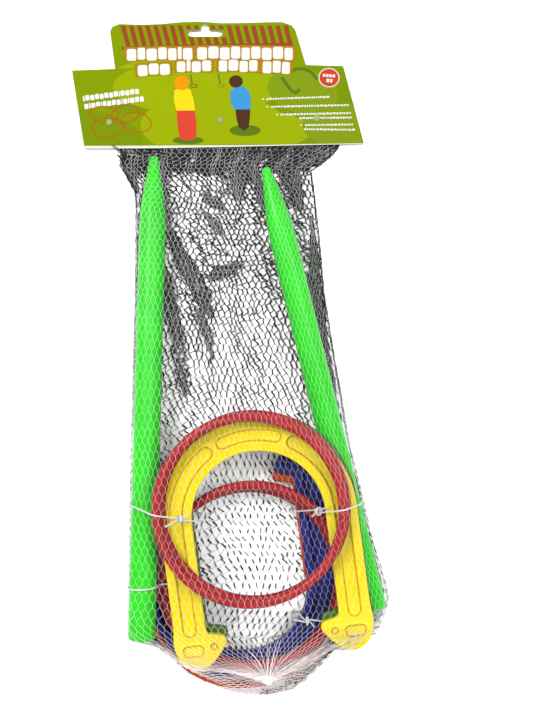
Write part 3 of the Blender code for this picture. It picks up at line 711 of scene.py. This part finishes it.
def build_print():
    """Every printed patch is its own very thin layer of ink on the front leaf."""
    names = list(INKS)
    mats = [ink("ink_" + n, INKS[n], 0.5 if n == "white" else 0.4) for n in names]
    bm = bmesh.new()
    patches = [("field", 0, (CARD_OUTLINE, slot_loop()))] + meadow() + fence() + title()
    patches += badge() + caption() + play() + list_of_points()
    seen = {}
    for name, layer, shape in patches:
        seen[layer] = seen.get(layer, 0) + 1
        loops = shape if isinstance(shape, tuple) else [shape]
        low = CARD_TOP + (0.004 if layer == 0 else PRINT_STEP * layer - 0.01)
        high = CARD_TOP + PRINT_STEP * (layer + 1) + 0.0022 * (seen[layer] % 12)
        before = set(bm.faces)
        bottoms = [loop_of(bm, loop, low) for loop in loops]
        tops = [loop_of(bm, loop, high) for loop in loops]
        for a, b in zip(bottoms, tops):
            bridge(bm, a, b)
        cap(bm, bottoms)
        cap(bm, tops)
        for face in set(bm.faces) - before:
            face.material_index = names.index(name)
    bmesh.ops.scale(bm, vec=(MM, MM, MM), verts=bm.verts)
    printed = bmesh_object("card_print", bm, mats, smooth=False)
    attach(printed, "card")


# ---- net

# The net's two hems as (y, x), from the card down to the drawn-together end.
NET_LEFT = [
    (150, -80.5), (146, -79), (142, -77), (138, -71.5), (133, -74.8), (128, -71.5),
    (116, -64), (104, -62.8), (39.2, -63.4), (-50, -66), (-93, -66.8), (-160, -67.6),
    (-188.5, -67.6), (-194, -60), (-200.5, -42), (-206.5, -37), (-213, -30), (-219, -20),
    (-225, -9), (-229.5, 2), (-231.5, 14)]
NET_RIGHT = [
    (150, 76.5), (146, 74.5), (137.4, 67.4), (131.9, 60), (127.6, 55.5), (107.1, 58.4), (75.6, 61.7),
    (46.6, 64.3), (-54.5, 81), (-97.6, 91), (-122, 97.2), (-156, 107.2), (-164, 108.4),
    (-177, 104), (-190.5, 96), (-195.5, 74), (-212.5, 60.5), (-227.5, 44), (-231.5, 28)]
NET_TOP, NET_TURN, BACK_END = 152, -170, -216
# Distance between rows of the net, as heights and the pitch at each.
FRONT_PITCH = ([-60, 27, 68, 109, 130], [5.2, 5.2, 4.1, 3.1, 2.8])
BACK_PITCH = ([-60, 10, 60, 110], [5.3, 5.1, 3.8, 3.5])
# Radii of the yarn, in millimetres: the double bars, then the single threads between them.
FRONT_YARN, FRONT_END_YARN, PALE_YARN = (0.170, 0.110), (0.30, 0.26), (0.11, 0.085)
BACK_YARN, BACK_END_YARN, GATHER_YARN, BUNCH_YARN = (0.58, 0.37), (0.22, 0.18), (0.60, 0.54), (0.76, 0.64)
# The grid of heights: its step, its first corner and its size.
GRID = 2
X0, Y0 = -90, -240
GRID_ROWS, GRID_COLUMNS = 200, 105
DRAPE_STEPS = 900


def mix(a, b, share):
    return a * (1 - share) + b * share


def curve(t, a, b, c):
    """A bend from a to c that leans towards b."""
    return (1 - t) ** 2 * a + 2 * t * (1 - t) * b + t * t * c


def lengths(dx, dy):
    """Distance along a line, from the steps between its points."""
    return np.concatenate([[0], np.cumsum(np.hypot(dx, dy))])


def edge(table, y):
    ys, xs = np.array(table)[::-1].T
    return np.interp(y, ys, xs)


def wander(seed, coarse, shape):
    """Seeded soft noise in -1..1 with features of about `coarse` cells."""
    cells = [int(size // coarse) + 4 for size in shape]
    source = np.random.default_rng(seed).uniform(-1, 1, cells)
    y, x = (np.linspace(0.5, count - 2.5, size) for count, size in zip(cells, shape))
    iy, ix = y.astype(int), x.astype(int)
    fy, fx = (f * f * (3 - 2 * f) for f in ((y - iy)[:, None], (x - ix)[None, :]))
    near, far = (mix(rows[:, ix], rows[:, ix + 1], fx) for rows in (source[iy], source[iy + 1]))
    return mix(near, far, fy)


def obstacle_grid():
    """Top of everything packed in the bag, sampled on a grid by looking straight down."""
    verts, faces = [], []
    for name, obj in nodes.items():
        if name.startswith(("ring", "horseshoe", "stake", "tie")):
            base = len(verts)
            verts += [v.co / MM for v in obj.data.vertices]
            faces += [[base + i for i in p.vertices] for p in obj.data.polygons]
    tree = BVHTree.FromPolygons(verts, faces)
    top = np.zeros((GRID_ROWS, GRID_COLUMNS))
    for i, j in np.ndindex(top.shape):
        hit = tree.ray_cast(Vector((X0 + j * GRID, Y0 + i * GRID, 120)), Vector((0, 0, -1)))[0]
        if hit is not None:
            top[i, j] = hit.z
    return top


def neighbours(grid):
    return [np.roll(grid, step, axis) for axis in (0, 1) for step in (1, -1)]


def drape(top):
    """A slack net laid over the grid: it touches the high pieces and sags between them."""
    solid = np.maximum.reduce([top, *neighbours(top)])
    solid = np.where(solid > 0, solid + 0.8, 2.4)
    ys = Y0 + np.arange(GRID_ROWS)[:, None] * GRID
    xs = X0 + np.arange(GRID_COLUMNS)[None, :] * GRID
    inside = (xs > edge(NET_LEFT, ys)) & (xs < edge(NET_RIGHT, ys)) & (ys > -230.5) & (ys < 140)
    height = solid
    for _ in range(DRAPE_STEPS):
        height = np.where(inside, np.maximum(sum(neighbours(height)) / 4 - 0.012, solid), solid)
    return height


def look_up(field, x, y):
    """Height of the grid between its points."""
    c = np.clip((x - X0) / GRID, 0, field.shape[1] - 1.001)
    r = np.clip((y - Y0) / GRID, 0, field.shape[0] - 1.001)
    j, i = c.astype(int), r.astype(int)
    near, far = (mix(field[k, j], field[k, j + 1], c - j) for k in (i, i + 1))
    return mix(near, far, r - i)


def front_profile(field, y):
    """Cross-section from the left hem over the pieces to the right hem, with length along it; the
    steep side walls count for less, because the net is gathered there."""
    x = np.linspace(float(edge(NET_LEFT, y)), float(edge(NET_RIGHT, y)), 420)
    z = np.pad(look_up(field, x, np.full(len(x), y)), 1, constant_values=1.2)
    x = np.pad(x, 1, mode="edge")
    wall = np.interp(y, [-150, 120], [0.32, 0.45])
    s = lengths(np.diff(x), np.diff(z) * wall)
    return x, z, s / s[-1]


def levels(top, bottom, pitch):
    """Heights of the net's rows: close together where it is gathered at the card, then even."""
    ys = [top]
    while ys[-1] > bottom:
        ys.append(ys[-1] - float(np.interp(ys[-1], *pitch)))
    return np.array(ys)


def stagger(rows, columns):
    """Shares of the width, every other row shifted by half a cell."""
    return (np.arange(columns)[None, :] + 0.25 + 0.5 * (np.arange(rows)[:, None] % 2)) / columns


def weave(lattice, yarn_radii, bar_share, slant=0, thin=1, fine=None):
    """Rods of a hexagonal knitted net on a lattice of points (rows, columns, 3). `thin` scales the
    radii, and `fine`, where it is given, those of the single threads."""
    bar, thread = yarn_radii
    rows, columns = shape = lattice.shape[:2]
    down = np.zeros_like(lattice)
    down[:-2] = (lattice[2:] - lattice[:-2]) / 2
    down[-2:] = down[-3]
    lean = slant * (1 + 1.6 * wander(9, 1, shape) + 1.2 * wander(10, 6, shape))
    lean = lean[:, :, None] * np.array([1, 0, 0])
    low_end = lattice + down * bar_share + lean
    high_end = lattice - down * bar_share - lean
    for end in (low_end, high_end):
        end[:, :, 2] = np.maximum(end[:, :, 2], 0.8)
    thin = np.broadcast_to(thin, shape)
    fine = thin if fine is None else fine
    starts, ends, radii = [high_end.reshape(-1, 3)], [low_end.reshape(-1, 3)], [(bar * thin).reshape(-1)]
    for i in range(rows - 1):
        for step in (0, 1):
            across = np.arange(columns) + (step if i % 2 else step - 1)
            ok = (across >= 0) & (across < columns)
            starts.append(low_end[i, ok])
            ends.append(high_end[i + 1, across[ok]])
            radii.append(thread * fine[i, ok])
    return [np.concatenate(arrays) for arrays in (starts, ends, radii)]


def knot_ring(knot, degrees):
    """Where yarn meets the knot, coming in from a direction."""
    angle = np.radians(degrees)
    return knot.x + 2.4 * np.cos(angle), knot.y + 2 * np.sin(angle)


def knot_rise(t):
    """Share of the knot's height in the last stretch before it."""
    return np.clip((t - 0.6) / 0.4, 0, 1) ** 2


def tuck(z, ys, height):
    """Bring the top rows to the height between the card's two leaves."""
    z[:] = mix(z, height, np.clip((ys - 139) / 9, 0, 1)[:, None])


def front_lattice(field, knot):
    """The side of the net that faces up: straight rows over the pieces, then drawn in to the knot."""
    ys = levels(NET_TOP, NET_TURN, FRONT_PITCH)
    straight = len(ys)
    closing, columns = 13, 46
    rows = straight + closing
    u = stagger(rows, columns)
    shape = u.shape
    pull = np.zeros((rows, 1))
    pull[:straight, 0] = np.clip((ys - 88) / 50, 0, 1) ** 1.5
    u = u + 0.012 * pull * np.sin(2 * np.pi * 8 * u + 0.7) + 0.005 * wander(3, 9, shape)
    u = np.clip(u + 0.03 * pull * np.sin(2 * np.pi * u), 0, 1)
    even = np.linspace(0, 1, 200)
    u = np.interp(u, (0.90 * even + 0.14 * even ** 2) / 1.04, even)
    lattice = np.zeros((*shape, 3))
    for i, y in enumerate(ys):
        x, z, s = front_profile(field, y)
        slope = 15 * float(np.interp(y, [-165, -110, 80, 118], [0, 1, 1, 0]))
        across = np.interp(u[i], s, x)
        down = y - slope * np.clip((u[i] - 0.5) / 0.5, 0, 1) ** 2
        over = (across > x[0] + 1) & (across < x[-1] - 1)
        height = np.where(over, look_up(field, across, down), np.interp(u[i], s, z))
        lattice[i] = np.column_stack((across, down, height))
    turn = float(ys[-1])
    x, _, s = front_profile(field, turn)
    for i in range(straight, rows):
        t = (i - straight + 1) / closing
        start = np.interp(u[i], s, x)
        lean = np.where(start < knot.x, 0.12, 0.40)
        end_x, end_y = knot_ring(knot, 196 - 212 * u[i])
        across = curve(t, start, start + (knot.x - start) * lean, end_x)
        down = curve(t, turn, -202, end_y)
        ground = look_up(field, across, down) + 0.3
        rise = knot_rise(t)
        hem = np.clip(np.minimum(u[i], 1 - u[i]) / 0.04, 0, 1)
        height = ground * (1 - rise) * (0.3 + 0.7 * hem) + knot.z * rise + ground * 0.3 * rise * (1 - hem)
        lattice[i] = np.column_stack((across, down, height))
    loose = np.ones((rows, 1))
    loose[straight:, 0] = np.linspace(0.8, 0, closing)
    x, y, z = np.moveaxis(lattice, 2, 0)
    y += loose * (1.5 * wander(5, 8, shape) + 0.5 * wander(6, 2, shape))
    x += loose * 0.4 * wander(7, 2, shape)
    tuck(z[:straight], ys, 3.15 + 0.2 * wander(8, 2, shape)[:straight])
    z[:] = np.maximum(z, 1)
    thin = np.ones(shape)
    thin[:straight] = np.interp(ys, [-165, -145, -50, 60], [0.92, 0.72, 0.72, 0.80])[:, None]
    thin[:straight] *= 1 - 0.36 * np.clip((u[:straight] - 0.55) / 0.15, 0, 1)
    thin[straight:] = np.linspace(0.95, 0.85, closing)[:, None]
    return lattice, thin


def end_lattice(field, knot, first, last, columns, seed, reach=1):
    """The side of the net that faces down, brought up round the end of the bag to the knot."""
    hem = [(x, y) for y, x in NET_LEFT if y < -180] + [(x, y) for y, x in NET_RIGHT[::-1] if y < -160]
    xs, ys = np.array(hem).T
    s = lengths(np.diff(xs), np.diff(ys))
    rows = 10
    u = first + (last - first) * stagger(rows, columns)
    lattice = np.zeros((*u.shape, 3))
    for i in range(rows):
        t = reach * i / (rows - 1)
        end_x, end_y = knot_ring(knot, 196 + 150 * u[i])
        across = mix(np.interp(u[i] * s[-1], s, xs), end_x, t)
        down = mix(np.interp(u[i] * s[-1], s, ys), end_y, t)
        ground = look_up(field, across, down) + 0.2
        height = mix(np.maximum(ground * min(1, 0.35 + 2 * t), 1), knot.z - 1, knot_rise(t))
        lattice[i] = np.column_stack((across, down, height))
    even = np.linspace(0, 1, rows)[:, None]
    slack = (1 - even) * even * 4
    for axis in (0, 1):
        lattice[:, :, axis] += slack * 1.2 * wander(seed + axis, 4, u.shape)
    return lattice


def back_lattice(ys, columns, height, crumple, seed, walls=0):
    """The side of the net that faces down, crumpled; `walls` more columns climb at each hem."""
    rows = len(ys)
    left = edge(NET_LEFT, ys)[:, None] + 0.7
    right = edge(NET_RIGHT, ys)[:, None] - 0.7
    u = stagger(rows, columns)
    shape = (rows, columns + 2 * walls)
    lattice = np.zeros((*shape, 3))
    x, y, z = np.moveaxis(lattice, 2, 0)
    warp = crumple * 0.010 * wander(seed, 7, u.shape) + crumple * 0.005 * wander(seed + 1, 3, u.shape)
    x[:, walls:columns + walls] = left + (right - left) * np.clip(u + warp, 0, 1)
    z[:] = height
    for k in range(walls):
        step = (walls - k) - 0.5 * (np.arange(rows) % 2)
        for side, hem, out in ((k, left, -1), (-1 - k, right, 1)):
            x[:, side] = hem[:, 0] + out * 0.3 + out * 0.28 * step
            z[:, side] = height + 2.4 * step
    loose = np.ones(shape)
    if walls:
        loose[:, :walls + 1] = loose[:, -walls - 1:] = 0.1
    x += loose * (wander(seed + 2, 2, shape) + 0.8 * wander(seed + 6, 1, shape))
    y[:] = ys[:, None] + crumple * 2.2 * wander(seed + 3, 6, shape) + 1.3 * wander(seed + 4, 1, shape)
    z += 0.25 * wander(seed + 5, 3, shape)
    tuck(z, ys, 2.5)
    uneven = 1 + 0.45 * wander(seed + 7, 1, shape)
    thick = np.interp(ys, [-230, -60, 30, 80, 150], [0.95, 1, 1.3, 1.35, 1.4])[:, None] * uneven
    fine = np.interp(ys, [-70, -20, 75, 150], [0.30, 0.85, 1.25, 1.45])[:, None] * uneven
    for side in (*range(walls), *range(-walls, 0)):
        thick[:, side] *= 0.34
        fine[:, side] *= 0.42
    return lattice, thick, fine


# Where the slack net is bunched: points along the bunch, its width at each, the spacing of its cells.
BUNCHES = [
    ([(-43.5, 94), (-36, 76), (-26.5, 57.8), (-18, 42), (-12.5, 29)],
     [5, 8.5, 11, 12, 7], 1.5),
    ([(-14, 55), (-2, 61), (9.5, 66)], [9, 9, 5], 1.5),
    ([(-45.5, 136), (-45, 112), (-43.5, 88)], [6, 6, 5], 1.4),
    ([(4.6, 137), (6, 124), (6.5, 110)], [18, 12, 4], 1.6),
    ([(-18, 113.5), (-11, 108), (-3, 103)], [5, 7, 4.5], 1.6),
    ([(-17.5, 101.5), (-11, 94), (-4, 86)], [4.5, 6, 4.5], 1.9),
    ([(38.3, 138), (43, 124), (49, 104)], [14, 12, 6], 1.5),
    ([(47, 137), (58, 139.5), (68, 143)], [11, 10, 5], 1.6),
    ([(15.6, 134), (19, 121), (22.5, 104)], [8, 6, 4], 1.7),
    ([(-37.3, 30), (-34, 5), (-30.5, -25)], [8, 10, 7], 2.6),
    ([(-22, 34), (-15, 16), (-12, 2)], [8, 8, 4], 2.3),
    ([(-72, 142), (-70, 131), (-64.5, 116)], [9, 7, 3.5], 1.5),
    ([(56, 97), (58, 80), (58.8, 64), (59, 46), (62.2, 26), (66, 0), (72.6, -35),
      (80.2, -66)], [3.5, 5.5, 7, 9, 8, 6, 4.5, 3], 1.4),
    ([(-61.4, 112), (-62, 60), (-63, 0), (-64.6, -60), (-65.8, -120), (-66.2, -182)],
     [2.6, 2.6, 2.6, 2.4, 2.4, 2.4], 1.1),
    ([(82, -66), (90, -100), (98.5, -135), (105, -160), (103, -176)],
     [2.8, 2.6, 2.6, 2.8, 4], 1.1),
    ([(-64, -187), (-50, -194.5), (-40, -200), (-34, -206)], [3, 5, 4, 2.5], 1.3),
    ([(46, -222), (58, -210), (70, -198.5), (92, -190), (103, -177)],
     [3, 5, 5, 5, 4], 1.3),
    ([(-45.5, 66), (-42, 46), (-38.5, 28), (-36, 8)], [6, 9, 9, 6], 2.2),
]


def bunch_lattice(line, widths, spacing, seed, height=2):
    """A crumpled strip of net along a line, pinched where it runs out but not where it leaves the card."""
    xs, ys = np.array(line).T
    s = lengths(np.diff(xs), np.diff(ys))
    rows = max(5, int(round(s[-1] / 2.6)))
    columns = max(3, int(round(max(widths) / spacing)))
    at = np.linspace(0, s[-1], rows)
    x, y, width = (np.interp(at, s, values) for values in (xs, ys, widths))
    dx, dy = np.gradient(x), np.gradient(y)
    size = np.hypot(dx, dy)
    share = at / s[-1]
    free = np.clip((1 - share) / 0.22, 0.12, 1)
    if line[0][1] < 125:
        free = free * np.clip(share / 0.22, 0.12, 1)
    width = width * 1.12 * np.sqrt(free)
    x, y, dx, dy, width = (a[:, None] for a in (x, y, dx / size, dy / size, width))
    u = stagger(rows, columns) - 0.5
    shape = u.shape
    across = u * width * (1 + 0.35 * wander(seed, 2, shape)) + 0.9 * wander(seed + 1, 1, shape)
    along = 1.5 * wander(seed + 2, 1, shape)
    return np.stack((x - dy * across + dx * along, y + dx * across + dy * along,
                     height + 0.35 * wander(seed + 3, 2, shape)), axis=2)


def build_net(white, dark):
    """White net in front, dark crumpled net behind, and the bunches where the slack gathers."""
    knot = middle_of("bag_knot")
    field = drape(obstacle_grid())
    lattice, thin = front_lattice(field, knot)
    parts = [weave(lattice, FRONT_YARN, 0.20, thin=thin)]
    for first, last, columns, seed in ((0, 0.482, 20, 61), (0.478, 1, 24, 71)):
        lattice = end_lattice(field, knot, first, last, columns, seed)
        parts.append(weave(lattice, FRONT_END_YARN, 0.2, thin=np.linspace(1.3, 0.42, len(lattice))[:, None]))
    front = strands("net_front_strands", parts, white)
    lattice, thick, fine = back_lattice(levels(NET_TOP, BACK_END, BACK_PITCH), 36, 0.95, 1, 21, walls=4)
    slant = np.full(lattice.shape[:2], 0.8)
    slant[:, :6] = slant[:, -6:] = 0
    back = strands("net_back_strands", [weave(lattice, BACK_YARN, 0.24, slant, thick, fine)], dark)
    lattice, thick, _ = back_lattice(np.linspace(NET_TOP, 128, 10), 72, 1.9, 1.6, 41)
    lattice[:, :, 2] -= 0.5
    parts = [weave(lattice, GATHER_YARN, 0.25, thin=thick)]
    lattice = end_lattice(field, knot, 0.45, 1, 20, 81, 0.34)
    lattice[:, :, 2] -= 0.6
    parts.append(weave(lattice, BACK_END_YARN, 0.2))
    pale = []
    for k, (line, widths, spacing) in enumerate(BUNCHES):
        parts.append(weave(bunch_lattice(line, widths, spacing * 1.1, 100 + 7 * k), BUNCH_YARN, 0.25))
        pale.append(weave(bunch_lattice(line, widths, spacing * 3, 300 + 7 * k, 2.9), PALE_YARN, 0.2))
    dark_bunches = strands("net_bunches_dark", parts, dark, 3)
    pale_bunches = strands("net_bunches_pale", pale, white, 3)
    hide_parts("net_front")
    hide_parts("net_back")
    for piece, slot in ((front, "white_string"), (pale_bunches, "white_string"), (back, "dark_net"),
                        (dark_bunches, "dark_net")):
        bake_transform(piece)
    return field


KNOT_RADIUS, CORDS, CORD_RADIUS = 2.7, 34, 0.27


def build_knot(field, white):
    """The drawn-together bottom of the net: a tight lump and the cords that run into it."""
    centre = middle_of("bag_knot")
    bm = bmesh.new()
    bmesh.ops.create_icosphere(bm, subdivisions=3, radius=KNOT_RADIUS)
    for v in bm.verts:
        a = math.atan2(v.co.y, v.co.x)
        v.co *= 1 + 0.10 * math.sin(7 * a + v.co.z * 2) + 0.06 * math.sin(11 * v.co.z)
        v.co.x *= 1.25
        v.co.z *= 0.8
        v.co += centre
    for k in range(CORDS):
        a = math.radians(-40 + 250 * (k + 0.4 * math.sin(k * 2.3)) / (CORDS - 1))
        reach = 9 + 12 * abs(math.sin(k * 1.7)) + 9 * max(0, math.cos(a - math.radians(55)))
        path = []
        for t in (0, 0.12, 0.3, 0.5, 0.75, 1):
            turn, out = a + 0.1 * math.sin(k) * t, 1.2 + reach * t
            x = centre.x + math.cos(turn) * out
            y = max(centre.y + math.sin(turn) * out * 0.9, -230)
            fall = (1 - t) ** 2
            z = centre.z * fall + (look_up(field, x, y) + 0.5) * (1 - fall)
            path.append((x, y, max(z, 1.5)))
        tube(bm, path, CORD_RADIUS, 5, 0.5)
    bmesh.ops.scale(bm, vec=(MM, MM, MM), verts=bm.verts)
    knot = bmesh_object("bag_knot_cords", bm, [white])
    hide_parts("bag_knot")
    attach(knot, "bag")


# ---- camera, light and floor

def build_stage():
    """White paper under white surroundings, a key lamp, a fill lamp, and the camera straight above."""
    tones = [shade((grey,) * 3, 1) for grey in (0.90, 0.92)]
    paper = mottled("floor paper", (6, 2), *tones, {"Roughness": 0.9})[0]
    half = 6
    corners = [(-half, -half, 0), (half, -half, 0), (half, half, 0), (-half, half, 0)]
    floor = mesh_object("floor", corners, [range(4)], [paper], smooth=False)
    scene = bpy.context.scene
    scene.world = bpy.data.worlds.new("studio")
    scene.world.use_nodes = True
    set_inputs(scene.world.node_tree.nodes["Background"], {"Color": (1, 1, 1, 1), "Strength": 1.2})
    for name, place, size, power in (("key", (-0.60, 0.50, 1.25), 0.45, 20.5),
                                     ("fill", (0.62, 0.20, 1.25), 0.6, 11.5)):
        light = bpy.data.lights.new(name, "AREA")
        light.size = size
        light.energy = power
        lamp = in_scene(name, light, place)
        lamp.rotation_euler = (-Vector(place)).to_track_quat("-Z", "Y").to_euler()
    scene.view_settings.view_transform = "Standard"
    camera = bpy.data.cameras.new("camera")
    camera.lens = 58.77
    camera.sensor_width = 36
    scene.camera = in_scene("camera", camera, (0.0256, 0.0028, 0.8))


def repaint(node, mat):
    mesh = nodes[node].data
    mesh.materials.clear()
    mesh.materials.append(mat)


def main():
    build_stage()
    red = plastic("red ring plastic", (0.215, 0.0080, 0.010), 0.32)
    for node in ("ring_upper_top", "ring_upper_under", "ring_lower_top", "ring_lower_under"):
        build_ring(node, red)
    build_shoe("horseshoe_yellow", 7.5, "yellow plastic", (0.50, 0.400, 0))
    build_shoe("horseshoe_green", 7.5, "dark green plastic", (0.030, 0.078, 0.002))
    build_shoe("horseshoe_blue", 187.3, "blue plastic", (0.009, 0.010, 0.105))
    build_shoe("horseshoe_red", 187.3, "orange plastic", (0.33, 0.044, 0.006))
    bright = plastic("bright green plastic", (0.010, 0.365, 0.004), 0.32)
    for node in ("stake_left", "stake_right"):
        build_stake(node, bright)
    repaint("header_card", board("card board"))
    snap = plastic("clear snap plastic", (0.17, 0.20, 0.07), 0.2)
    for node in ("rivet_left", "rivet_middle", "rivet_right"):
        repaint(node, snap)
    build_print()
    white = yarn("white net yarn", (0.48, 0.48, 0.475), 0.08, (0.68, 0.60, 0.59))
    dark = yarn("dark net yarn", (0.007, 0.007, 0.008), 0.3)
    string = yarn("white tie string", (0.42, 0.42, 0.41), 0.15)
    for node in nodes:
        if node.startswith("tie"):
            repaint(node, string)
    repaint("net_collar", dark)
    field = build_net(white, dark)
    build_knot(field, white)


main()
